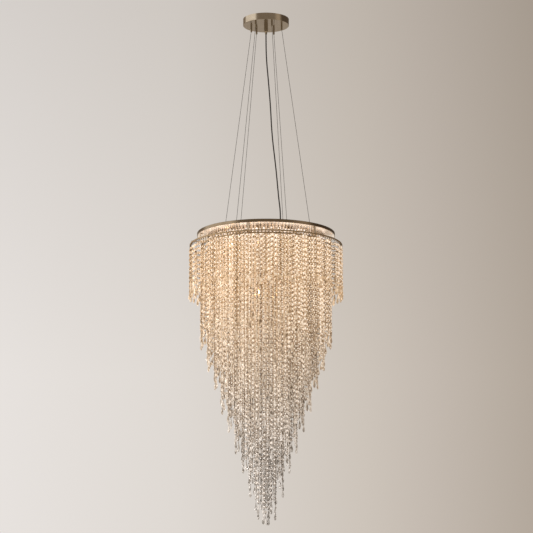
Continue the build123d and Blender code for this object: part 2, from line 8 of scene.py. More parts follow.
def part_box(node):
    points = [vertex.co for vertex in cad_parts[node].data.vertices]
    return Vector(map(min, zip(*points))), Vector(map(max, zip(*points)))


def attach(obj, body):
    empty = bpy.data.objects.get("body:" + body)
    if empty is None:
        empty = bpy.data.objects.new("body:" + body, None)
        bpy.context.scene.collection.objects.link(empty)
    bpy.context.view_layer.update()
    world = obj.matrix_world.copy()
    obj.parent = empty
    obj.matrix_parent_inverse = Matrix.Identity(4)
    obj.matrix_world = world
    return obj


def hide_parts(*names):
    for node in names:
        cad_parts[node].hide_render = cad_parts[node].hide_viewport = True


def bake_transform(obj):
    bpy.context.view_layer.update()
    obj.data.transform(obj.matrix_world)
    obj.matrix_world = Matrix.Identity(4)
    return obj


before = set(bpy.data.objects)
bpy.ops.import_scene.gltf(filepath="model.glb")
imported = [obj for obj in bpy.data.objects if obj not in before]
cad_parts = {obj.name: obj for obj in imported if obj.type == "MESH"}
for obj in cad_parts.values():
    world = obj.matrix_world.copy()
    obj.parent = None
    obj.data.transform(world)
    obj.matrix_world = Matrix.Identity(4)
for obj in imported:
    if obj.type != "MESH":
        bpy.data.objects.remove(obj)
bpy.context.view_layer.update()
scene = bpy.context.scene
scene.view_settings.view_transform = "Standard"
print("frame loaded:", len(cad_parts), "nodes")

# The light hangs from z = 0. All sizes are in metres.
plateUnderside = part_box("mirror_plate")[0][2]
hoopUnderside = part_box("strand_hoops")[0][2]


def linear(hexColour):
    # sRGB hex to the linear values that shaders use
    values = [int(hexColour[i:i + 2], 16) / 255 for i in (0, 2, 4)]
    return tuple([v / 12.92 if v <= 0.04045 else ((v + 0.055) / 1.055) ** 2.4 for v in values] + [1.0])


def addObject(name, mesh):
    piece = bpy.data.objects.new(name, mesh)
    scene.collection.objects.link(piece)
    return piece


# ---- camera
view = {
    "position": (0.002, -9.844, -3.053),
    "pitch": 11.69,
    "lens": 172.04,
    "sensor": 36.0,
    "farthest": 60,
}


def addCamera(settings):
    data = bpy.data.cameras.new("viewCamera")
    data.lens = settings["lens"]
    data.sensor_width = settings["sensor"]
    data.clip_end = settings["farthest"]
    camera = addObject("viewCamera", data)
    camera.location = settings["position"]
    camera.rotation_euler = (math.radians(90 + settings["pitch"]), 0, 0)
    scene.camera = camera


addCamera(view)
print("camera placed")


# ---- node helpers
reliefDepth = 0.0002


def addNode(tree, kind, values=None, **settings):
    node = tree.nodes.new(kind)
    for key, value in settings.items():
        setattr(node, key, value)
    for key, value in (values or {}).items():
        if isinstance(value, bpy.types.NodeSocket):
            tree.links.new(value, node.inputs[key])
        else:
            node.inputs[key].default_value = value
    return node


def mathNode(tree, operation, *values, clamp=False):
    return addNode(tree, "ShaderNodeMath", dict(enumerate(values)), operation=operation,
                   use_clamp=clamp).outputs[0]


def vectorNode(tree, operation, *values):
    return addNode(tree, "ShaderNodeVectorMath", dict(enumerate(values)), operation=operation).outputs[0]


def mixColour(tree, factor, a, b, blend="MIX"):
    return addNode(tree, "ShaderNodeMix", {0: factor, 6: a, 7: b}, data_type="RGBA",
                   blend_type=blend).outputs[2]


def mixFloat(tree, factor, a, b):
    return addNode(tree, "ShaderNodeMix", {0: factor, 2: a, 3: b}, data_type="FLOAT").outputs[0]


def mixShader(tree, factor, a, b):
    return addNode(tree, "ShaderNodeMixShader", {0: factor, 1: a, 2: b}).outputs[0]


def mapRange(tree, value, fromRange=(0.0, 1.0), toRange=(0.0, 1.0), kind="LINEAR"):
    return addNode(tree, "ShaderNodeMapRange", {
        "Value": value, "From Min": fromRange[0], "From Max": fromRange[1],
        "To Min": toRange[0], "To Max": toRange[1]}, interpolation_type=kind).outputs[0]


def noiseNode(tree, place, scale, detail=2.0, roughness=0.5):
    return addNode(tree, "ShaderNodeTexNoise", {
        "Vector": place, "Scale": scale, "Detail": detail, "Roughness": roughness}).outputs["Fac"]


def bumpNode(tree, height, strength):
    return addNode(tree, "ShaderNodeBump", {
        "Strength": strength, "Distance": reliefDepth, "Height": height}).outputs[0]


def rampNode(tree, factor, stops):
    node = addNode(tree, "ShaderNodeValToRGB", {"Fac": factor})
    elements = node.color_ramp.elements
    while len(elements) < len(stops):
        elements.new(0.5)
    for element, (place, colour) in zip(elements, stops):
        element.position = place
        element.color = linear(colour)
    return node.outputs["Color"]


def newMaterial(name):
    material = bpy.data.materials.new(name)
    material.use_nodes = True
    tree = material.node_tree
    tree.nodes.clear()
    output = addNode(tree, "ShaderNodeOutputMaterial")
    surface = addNode(tree, "ShaderNodeBsdfPrincipled")
    tree.links.new(surface.outputs["BSDF"], output.inputs["Surface"])
    place = addNode(tree, "ShaderNodeTexCoord").outputs["Object"]
    return material, tree, surface, place


def plug(tree, surface, **sockets):
    names = {"colour": "Base Color", "roughness": "Roughness", "metallic": "Metallic",
             "normal": "Normal", "glow": "Emission Color", "glowStrength": "Emission Strength",
             "transmission": "Transmission Weight", "refraction": "IOR"}
    for key, value in sockets.items():
        if isinstance(value, bpy.types.NodeSocket):
            tree.links.new(value, surface.inputs[names[key]])
        else:
            surface.inputs[names[key]].default_value = value


# ---- shader groups that several finishes share
def newGroup(name, inputs, outputs):
    group = bpy.data.node_groups.new(name, "ShaderNodeTree")
    for socketName, kind, value in inputs:
        socket = group.interface.new_socket(socketName, in_out="INPUT", socket_type=kind)
        if value is not None:
            socket.default_value = value
    for socketName, kind in outputs:
        group.interface.new_socket(socketName, in_out="OUTPUT", socket_type=kind)
    return group, addNode(group, "NodeGroupInput").outputs, addNode(group, "NodeGroupOutput").inputs


def useGroup(tree, group, values):
    return addNode(tree, "ShaderNodeGroup", values, node_tree=group).outputs


def makeBrushedGroup():
    # fine grinding lines, stretched by the scale, over slow cloudy handling marks
    group, given, result = newGroup("brushedLines", [
        ("Place", "NodeSocketVector", None), ("Scale", "NodeSocketVector", (40, 1200, 40)),
        ("Cloud", "NodeSocketFloat", 25.0)],
        [("Lines", "NodeSocketFloat"), ("Marks", "NodeSocketFloat")])
    stretched = vectorNode(group, "MULTIPLY", given["Place"], given["Scale"])
    group.links.new(noiseNode(group, stretched, 1.0, 4.0), result["Lines"])
    group.links.new(noiseNode(group, given["Place"], given["Cloud"], 3.0, 0.6), result["Marks"])
    return group


def makeFacetGroup():
    # a steady random value for every facet, from the way it faces and the crystal it is on: a painted
    # sparkle. The middle facets of a crystal are brighter than its girdle, a painted highlight, and some
    # strands are brighter than others, a painted shade that differs from strand to strand
    facingStep, alongStrand = (0.07, 0.07, 0.07), (1, 1, 0)
    group, given, result = newGroup("paintedFacetSparkle", [
        ("Place", "NodeSocketVector", None), ("Facing", "NodeSocketVector", None),
        ("Cells", "NodeSocketFloat", 70.0), ("Middle", "NodeSocketFloat", 0.0),
        ("Girdle low", "NodeSocketFloat", 0.1), ("Girdle high", "NodeSocketFloat", 0.6),
        ("Middle low", "NodeSocketFloat", 0.6), ("Strand share", "NodeSocketFloat", 0.15)],
        [("Facet", "NodeSocketFloat")])

    def cellAt(place):
        return addNode(group, "ShaderNodeTexVoronoi", {
            "Vector": place, "Scale": given["Cells"]}).outputs["Position"]

    def randomAt(place):
        return addNode(group, "ShaderNodeTexWhiteNoise", {"Vector": place},
                       noise_dimensions="3D").outputs["Value"]

    facing = vectorNode(group, "SNAP", given["Facing"], facingStep)
    facet = randomAt(vectorNode(group, "ADD", facing, cellAt(given["Place"])))
    strand = randomAt(cellAt(vectorNode(group, "MULTIPLY", given["Place"], alongStrand)))
    girdle = mixFloat(group, facet, given["Girdle low"], given["Girdle high"])
    brighter = mixFloat(group, facet, given["Middle low"], 1.0)
    tone = mixFloat(group, given["Middle"], girdle, brighter)
    lift = mathNode(group, "MULTIPLY", mathNode(group, "SUBTRACT", strand, 0.5), given["Strand share"])
    group.links.new(mathNode(group, "ADD", tone, lift, clamp=True), result["Facet"])
    return group


def makeGlowGroup():
    # how much painted lamp light a place gets: most above Top, none at Bottom; and how near the plate it is
    plateZone = 0.03
    group, given, result = newGroup("lampGlow", [
        ("Place", "NodeSocketVector", None), ("Top", "NodeSocketFloat", -0.95),
        ("Bottom", "NodeSocketFloat", -1.95)],
        [("Glow", "NodeSocketFloat"), ("Near plate", "NodeSocketFloat")])
    height = addNode(group, "ShaderNodeSeparateXYZ", {"Vector": given["Place"]}).outputs["Z"]
    plate = mathNode(group, "ADD", given["Top"], plateZone)
    glow = mapRange(group, height, (given["Bottom"], given["Top"]), kind="SMOOTHSTEP")
    group.links.new(glow, result["Glow"])
    group.links.new(mapRange(group, height, (given["Top"], plate)), result["Near plate"])
    return group


brushedGroup = makeBrushedGroup()
facetGroup = makeFacetGroup()
glowGroup = makeGlowGroup()
print("shader groups built")


# ---- finishes
# tones run from a facet's darkest value to its brightest, a painted sparkle; the warm tones are a painted
# lamp-lit copy and the cool ones a painted shaded copy. The lights are the painted lamp light that a facet
# gives off near the lamps, far from them and beside the plate (that one is linear); girdle shares are lowest
# and highest
crystalFinishAndPaintedLight = {
    "warm": ["3A2814", "957850", "E2CFB6", "FDF5EC", "FFFFFF"],
    "cool": ["24211E", "7B736B", "D6CFC8", "FEFCFA", "FFFFFF"],
    "stops": [0.0, 0.3, 0.52, 0.74, 1.0],
    "warmLight": "FFF6EA", "coolLight": "EEE8E2", "plateLight": (1.36, 1.42, 1.56, 1.0),
    "lightStrength": 0.44, "transmission": 0.35, "roughness": 0.05, "refraction": 1.55, "cells": 70.0,
    "girdleNear": (0.16, 0.62), "girdleFar": (0.1, 0.55), "middleLow": 0.72, "strandShare": 0.34,
}
# the drops carry the same painted sparkle and painted lamp light, in their own tones
dropFinishAndPaintedLight = {
    **crystalFinishAndPaintedLight,
    "warm": ["705C46", "B49C7E", "DCC9AE", "F4E9DA", "FFFFFF"],
    "cool": ["413F3D", "88847F", "C3C0BD", "F7F6F6", "FFFFFF"],
    "transmission": 0.6, "lightStrength": 0.33, "girdleNear": (0.1, 0.8), "girdleFar": (0.1, 0.8),
}


def makeCrystal(name, settings):
    material, tree, surface, place = newMaterial(name)
    facing = addNode(tree, "ShaderNodeNewGeometry").outputs["True Normal"]
    middle = addNode(tree, "ShaderNodeAttribute", attribute_name="middle").outputs["Fac"]
    lampLight = useGroup(tree, glowGroup, {"Place": place})
    glow = lampLight["Glow"]
    girdleLow, girdleHigh = (mixFloat(tree, glow, far, near) for far, near in
                             zip(settings["girdleFar"], settings["girdleNear"]))
    facet = useGroup(tree, facetGroup, {
        "Place": place, "Facing": facing, "Cells": settings["cells"], "Middle": middle,
        "Girdle low": girdleLow, "Girdle high": girdleHigh,
        "Middle low": settings["middleLow"], "Strand share": settings["strandShare"]})["Facet"]
    warm, cool = (rampNode(tree, facet, list(zip(settings["stops"], settings[tone])))
                  for tone in ("warm", "cool"))
    # painted lamp light: the lamp-lit warm tones near the lamps, the shaded cool tones far from them
    body = mixColour(tree, glow, cool, warm)
    # the crystal's glow is painted lamp light, brighter beside the plate; a crystal is no lamp
    light = mixColour(tree, glow, linear(settings["coolLight"]), linear(settings["warmLight"]))
    light = mixColour(tree, lampLight["Near plate"], light, settings["plateLight"])
    plug(tree, surface, colour=body, roughness=settings["roughness"],
         glow=mixColour(tree, 1.0, body, light, "MULTIPLY"), glowStrength=settings["lightStrength"],
         transmission=settings["transmission"], refraction=settings["refraction"])
    return material


brushing = {
    "flatFrom": 0.7, "contrast": 1.6, "offset": -0.55, "markShare": 0.5, "roughnessSpread": 0.12,
    "bump": 0.15, "cloud": 25.0, "turned": (30, 30, 2600),
}


def makeBrushed(name, colour, shade, flatScale, roughness, paintedFlatShade="FFFFFF"):
    # turned lines around the sides, and straight grinding streaks on the flat faces
    material, tree, surface, place = newMaterial(name)
    facing = addNode(tree, "ShaderNodeNewGeometry").outputs["True Normal"]
    upright = addNode(tree, "ShaderNodeSeparateXYZ", {"Vector": facing}).outputs["Z"]
    isFlat = mathNode(tree, "GREATER_THAN", mathNode(tree, "ABSOLUTE", upright), brushing["flatFrom"])
    side, flat = (useGroup(tree, brushedGroup, {"Place": place, "Scale": scale, "Cloud": brushing["cloud"]})
                  for scale in (brushing["turned"], flatScale))
    lines = mixFloat(tree, isFlat, side["Lines"], flat["Lines"])
    tone = mathNode(tree, "MULTIPLY_ADD", lines, brushing["contrast"], brushing["offset"])
    marked = mathNode(tree, "MULTIPLY", side["Marks"], brushing["markShare"])
    body = mixColour(tree, mathNode(tree, "ADD", tone, marked, clamp=True), linear(shade), linear(colour))
    # flat faces are multiplied by a darker tint: a painted shade on the flat faces
    body = mixColour(tree, isFlat, body, mixColour(tree, 1.0, body, linear(paintedFlatShade), "MULTIPLY"))
    spread = brushing["roughnessSpread"] / 2
    plug(tree, surface, colour=body, metallic=1.0, normal=bumpNode(tree, lines, brushing["bump"]),
         roughness=mapRange(tree, lines, toRange=(roughness - spread, roughness + spread)))
    return material


def makePlain(name, colour, shade, roughness, metallic=0.0, scale=180.0, bump=0.1):
    # moulded, cast or plated parts: fine mottling in colour and roughness
    detail, spread = 5.0, 0.2
    material, tree, surface, place = newMaterial(name)
    grain = noiseNode(tree, place, scale, detail)
    plug(tree, surface, colour=mixColour(tree, grain, linear(shade), linear(colour)), metallic=metallic,
         roughness=mapRange(tree, grain, toRange=(roughness * (1 - spread), roughness * (1 + spread))),
         normal=bumpNode(tree, grain, bump))
    return material


# the sheen is a painted reflection: a glow that stands for the soft light from one side that the plate
# mirrors near its rim
plateFinishAndPaintedSheen = {
    "colour": "FAF4EC", "shade": "ECE2D6", "roughness": 0.24, "scale": 22.0, "detail": 3.0,
    "sheen": "FFF4E6", "sheenFrom": 0.21, "sheenTo": 0.26, "strength": 0.38,
    "patchRange": (0.35, 0.62), "patchShares": (0.45, 1.0),
}


def makeLitPlate(name, settings):
    # polished plate over the lamps: an even shade, and a painted sheen, a glow in patches that grows towards
    # the rim
    material, tree, surface, place = newMaterial(name)
    cloud = noiseNode(tree, place, settings["scale"], settings["detail"])
    parts = addNode(tree, "ShaderNodeSeparateXYZ", {"Vector": place}).outputs
    across = addNode(tree, "ShaderNodeCombineXYZ", {"X": parts["X"], "Y": parts["Y"]}).outputs[0]
    radius = addNode(tree, "ShaderNodeVectorMath", {0: across}, operation="LENGTH").outputs["Value"]
    outer = mapRange(tree, radius, (settings["sheenFrom"], settings["sheenTo"]), kind="SMOOTHSTEP")
    patches = mapRange(tree, cloud, settings["patchRange"], settings["patchShares"])
    share = mathNode(tree, "MULTIPLY", outer, patches)
    plug(tree, surface, colour=mixColour(tree, cloud, linear(settings["shade"]), linear(settings["colour"])),
         roughness=settings["roughness"], metallic=1.0, glowStrength=settings["strength"],
         glow=mixColour(tree, share, linear("000000"), linear(settings["sheen"])))
    return material


# levels are the middle heights of the lamps' cores, reach is half a core's length
coreFinish = {
    "colour": "FFE4BC", "edge": "FFD096", "strength": 22.0, "levels": (-0.9475, -1.0475, -1.1275),
    "reach": 0.009, "endShare": 0.04, "scale": 220.0, "roughness": 0.5,
}


def makeGlowing(name, settings):
    # glows most at the cores' middle heights, and fades to their ends
    material, tree, surface, place = newMaterial(name)
    grain = noiseNode(tree, place, settings["scale"])
    tone = mixColour(tree, grain, linear(settings["edge"]), linear(settings["colour"]))
    height = addNode(tree, "ShaderNodeSeparateXYZ", {"Vector": place}).outputs["Z"]
    nearest = 1.0
    for level in settings["levels"]:
        away = mathNode(tree, "ABSOLUTE", mathNode(tree, "SUBTRACT", height, level))
        nearest = mathNode(tree, "MINIMUM", nearest, away)
    share = mapRange(tree, nearest, (0.0, settings["reach"]), (1.0, settings["endShare"]))
    plug(tree, surface, colour=tone, roughness=settings["roughness"], glowStrength=settings["strength"],
         glow=mixColour(tree, share, linear("000000"), tone))
    return material


bulbFinish = {
    "clear": "FFF6E8", "hazy": "FFFFFF", "roughness": (0.02, 0.1), "scale": 90.0,
    "transmission": 1.0, "refraction": 1.45,
}


def makeBulbGlass(name, settings):
    material, tree, surface, place = newMaterial(name)
    haze = noiseNode(tree, place, settings["scale"])
    plug(tree, surface, colour=mixColour(tree, haze, linear(settings["clear"]), linear(settings["hazy"])),
         roughness=mapRange(tree, haze, toRange=settings["roughness"]),
         transmission=settings["transmission"], refraction=settings["refraction"])
    return material


finishes = {
    "crystal": makeCrystal("crystal", crystalFinishAndPaintedLight),
    "dropCrystal": makeCrystal("dropCrystal", dropFinishAndPaintedLight),
    # champagne's flat faces take a painted shade
    "champagne": makeBrushed("champagne", "DCD1C1", "B0A18D", (420, 6, 6), 0.16, paintedFlatShade="C4BDB4"),
    # the rim band's darker copy of champagne is a painted shade that dims its mirrored highlight
    "champagneRim": makeBrushed("champagneRim", "BBAA94", "8C7A63", (420, 6, 6), 0.2),
    "champagneLid": makeBrushed("champagneLid", "CDBFA9", "9F8E76", (900, 9, 9), 0.3),
    "brightNickel": makePlain("brightNickel", "B4A896", "93866F", 0.2, metallic=1.0, scale=300.0, bump=0.03),
    "bracketSatin": makePlain("bracketSatin", "E9D8C2", "D2BEA4", 0.45, metallic=0.4, scale=300.0, bump=0.1),
    "hoopSatin": makePlain("hoopSatin", "BEA584", "97805F", 0.45, metallic=0.5, scale=300.0, bump=0.1),
    "zincSteel": makePlain("zincSteel", "B4B6B8", "8C8E90", 0.34, metallic=1.0, scale=120.0),
    "brass": makePlain("brass", "D9B56A", "A9823E", 0.3, metallic=1.0, scale=120.0),
    "rubber": makePlain("rubber", "1B1A19", "0E0E0D", 0.75, scale=500.0, bump=0.3),
    "terminalPlastic": makePlain("terminalPlastic", "EDEAE0", "D9D5C8", 0.5, scale=300.0),
    "sheath": makePlain("sheath", "27221E", "171412", 0.5, scale=900.0, bump=0.2),
    "coreInsulation": makePlain("coreInsulation", "E4E0D6", "CFCABD", 0.35, scale=700.0),
    "steelWire": makePlain("steelWire", "4A443C", "26221D", 0.4, metallic=1.0, scale=2500.0, bump=0.4),
    "mirrorSteel": makeLitPlate("mirrorSteel", plateFinishAndPaintedSheen),
    "ceramic": makePlain("ceramic", "F2EFE8", "E2DDD2", 0.22, scale=150.0, bump=0.05),
    "bulbGlass": makeBulbGlass("bulbGlass", bulbFinish),
    "lampCore": makeGlowing("lampCore", coreFinish),
    "linkSteel": makePlain("linkSteel", "8C7F6C", "5A4E40", 0.3, metallic=1.0, scale=700.0, bump=0.1),
}

nodeFinishes = {
    "champagne": ["canopy_cover", "wiring_cover"],
    "champagneRim": ["rim_band"],
    "champagneLid": ["frame_lid"],
    "brightNickel": ["wire_grippers", "canopy_gland", "frame_gland", "wire_anchors", "lamp_stems"],
    "hoopSatin": ["strand_hoops"],
    "bracketSatin": ["hoop_brackets"],
    "zincSteel": ["ceiling_plate", "standoff_studs", "stud_nuts", "anchor_spacers", "cover_screws",
                  "cover_nuts", "bracket_screws", "hoop_screws", "stem_nuts"],
    "brass": ["canopy_terminal_screws", "earth_terminal", "canopy_gland_nut", "frame_gland_nut",
              "frame_terminal_screws"],
    "rubber": ["supply_grommet", "lead_grommet"],
    "terminalPlastic": ["canopy_terminal_block", "frame_terminal_block"],
    "sheath": ["canopy_cable_tail", "frame_cable_tail"],
    "coreInsulation": ["canopy_cores", "frame_cores", "earth_lead", "lamp_leads"],
    "steelWire": [f"suspension_wire_{number}" for number in range(1, 7)],
    "mirrorSteel": ["mirror_plate"],
    "ceramic": ["lamp_holders", "bulb_bases"],
    "bulbGlass": ["bulb_glasses"],
    "lampCore": ["bulb_cores"],
}


def dress(piece, finishName):
    piece.data.materials.clear()
    piece.data.materials.append(finishes[finishName])


for finishName, nodeNames in nodeFinishes.items():
    for nodeName in nodeNames:
        dress(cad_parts[nodeName], finishName)
print("finishes:", len(finishes))


# ---- power cable
cable = {
    "route": [
        (0, 0, -0.062), (0, 0, -0.120), (0.0026, -0.0018, -0.180), (0.0082, -0.0046, -0.242),
        (0.0136, -0.0066, -0.308), (0.0184, -0.0076, -0.374), (0.0214, -0.0074, -0.440),
        (0.0264, -0.0064, -0.506), (0.0342, -0.0048, -0.572), (0.0412, -0.0032, -0.636),
        (0.0464, -0.0018, -0.696), (0.0516, -0.0006, -0.750), (0.057, 0, -0.792), (0.057, 0, -0.828)],
    "diameter": 0.005, "length": 0.769, "sides": 20, "pointsPerRun": 10,
}


def readCentreline(settings):
    curve = bpy.data.curves.new("cableRoute", "CURVE")
    curve.dimensions = "3D"
    spline = curve.splines.new("NURBS")
    spline.points.add(len(settings["route"]) - 1)
    for point, place in zip(spline.points, settings["route"]):
        point.co = (*place, 1)
    spline.order_u = 3
    spline.use_endpoint_u = True
    spline.resolution_u = settings["pointsPerRun"]
    guide = addObject("cableRoute", curve)
    line = bpy.data.meshes.new_from_object(guide.evaluated_get(bpy.context.evaluated_depsgraph_get()))
    points = [v.co.copy() for v in line.vertices]
    bpy.data.objects.remove(guide)
    bpy.data.meshes.remove(line)
    return points


def tubeMesh(name, points, radius, sides):
    # rings square to the line, each turned as little as possible from the last, with closed ends
    bm = bmesh.new()
    side = Vector((1, 0, 0))
    rings = []
    for index, point in enumerate(points):
        ahead = points[min(index + 1, len(points) - 1)] - points[max(index - 1, 0)]
        ahead.normalize()
        side = (side - ahead * side.dot(ahead)).normalized()
        other = ahead.cross(side)
        rings.append([bm.verts.new(point + (side * math.cos(a) + other * math.sin(a)) * radius)
                      for a in (2 * math.pi * k / sides for k in range(sides))])
    for lower, upper in zip(rings, rings[1:]):
        for k in range(sides):
            face = bm.faces.new((lower[k], lower[(k + 1) % sides], upper[(k + 1) % sides], upper[k]))
            face.smooth = True
    bm.faces.new(list(reversed(rings[0])))
    bm.faces.new(rings[-1])
    mesh = bpy.data.meshes.new(name)
    bm.to_mesh(mesh)
    bm.free()
    return mesh


def makeCable(settings):
    points = readCentreline(settings)
    piece = addObject("power_cable_sheath", tubeMesh("power_cable_sheath", points,
                                                     settings["diameter"] / 2, settings["sides"]))
    dress(piece, "sheath")
    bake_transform(piece)
    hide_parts("power_cable")


makeCable(cable)
print("cable made")


# ---- crystal strands
bead = {"halfWidth": 0.0062, "halfHeight": 0.0064, "halfDepth": 0.0040, "table": 0.45, "tableDepth": 0.82}
drop = {
    "length": 0.040, "halfWidth": 0.0070, "halfDepth": 0.0046, "sides": 6,
    "rings": ((0.32, 0.34), (0.74, 1.0), (0.93, 0.62)),  # down its length, share of its width
}
link = {"halfLength": 0.0034, "halfWidth": 0.0008}
hook = {"halfLength": 0.0046, "halfWidth": 0.0020}
# crystals that neighbouring strands have more or fewer, in turn around each ring
patterns = {"hoop": (0, 1, -1), "tier": (0, 3, -2, 1, -1, 2), "inner": (-1, 1, -3, -2, 1, 0), "centre": (0,)}
strands = {
    "pitch": 0.0182, "hook": 0.008, "spacing": 0.014,
    # rings, from the outer tier in; the cone's tip and slope set how far down each one goes
    "hoopRadius": 0.300, "hoopCrystals": 8, "outerRadius": 0.255, "tierPitch": 0.027, "tierCount": 9,
    "innerRadius": 0.0195, "tip": -2.075, "slope": 3.074, "centreCrystals": 60,
    # random turn of each crystal, and shift of each strand sideways and up or down
    "tilt": 0.04, "twist": 0.3, "wander": 0.0005, "stagger": 0.0045,
    "hoopSeed": 11, "tierSeed": 100, "centreSeed": 300,
}
# how far below the hook each kind starts, in pitches, and what it adds to the ring's seed; drops go by
# the length of their strand
kinds = {"Crystal": (0.5, 7), "Link": (0.0, 17), "Drop": (0.0, 27), "Hook": (-0.22, 37)}


def meshFrom(name, points, faces):
    mesh = bpy.data.meshes.new(name)
    mesh.from_pydata(points, [], faces)
    mesh.update()
    return mesh


def beadMesh(settings):
    # octagon crystal: eight star facets in the middle of each face, and eight down to a sharp girdle
    width, height, depth = settings["halfWidth"], settings["halfHeight"], settings["halfDepth"]
    sides = 8

    def ring(scale, x):
        angles = [math.pi / sides + 2 * math.pi * k / sides for k in range(sides)]
        return [(x, width * scale * math.cos(a), height * scale * math.sin(a)) for a in angles]

    rim = depth * settings["tableDepth"]
    points = ring(settings["table"], rim) + ring(1, 0) + ring(settings["table"], -rim)
    points += [(depth, 0, 0), (-depth, 0, 0)]
    girdle, middle = [], []
    front, edge, back = 0, sides, 2 * sides
    for k in range(sides):
        n = (k + 1) % sides
        girdle += [(front + k, edge + k, edge + n, front + n), (edge + k, back + k, back + n, edge + n)]
        middle += [(3 * sides, front + k, front + n), (3 * sides + 1, back + n, back + k)]
    mesh = meshFrom("octagonCrystal", points, girdle + middle)
    mark = mesh.attributes.new("middle", "FLOAT", "FACE")
    mark.data.foreach_set("value", [0.0] * len(girdle) + [1.0] * len(middle))
    return mesh


def dropMesh(settings):
    # pear drop, hung from its point and widest near its foot
    width, depth, sides = settings["halfWidth"], settings["halfDepth"], settings["sides"]
    points = [(0, 0, 0)]
    for down, share in settings["rings"]:
        for a in (2 * math.pi * k / sides for k in range(sides)):
            points.append((depth * share * math.cos(a), width * share * math.sin(a),
                           -settings["length"] * down))
    points.append((0, 0, -settings["length"]))
    foot, last = len(points) - 1, len(points) - 1 - sides
    faces = []
    for k in range(sides):
        n = (k + 1) % sides
        faces += [(0, 1 + k, 1 + n), (foot, last + n, last + k)]
        for first in range(1, last, sides):
            faces.append((first + k, first + sides + k, first + sides + n, first + n))
    return meshFrom("pearDrop", points, faces)


def linkMesh(settings):
    length, width = settings["halfLength"], settings["halfWidth"]
    points = [(0, 0, length), (width, 0, 0), (0, width, 0), (-width, 0, 0), (0, -width, 0), (0, 0, -length)]
    around = [(1 + k, 1 + (k + 1) % 4) for k in range(4)]
    faces = [(0, k, n) for k, n in around] + [(5, n, k) for k, n in around]
    return meshFrom("wireLink", points, faces)


def outward(mesh):
    bm = bmesh.new()
    bm.from_mesh(mesh)
    bmesh.ops.recalc_face_normals(bm, faces=bm.faces)
    bm.to_mesh(mesh)
    bm.free()
    return mesh


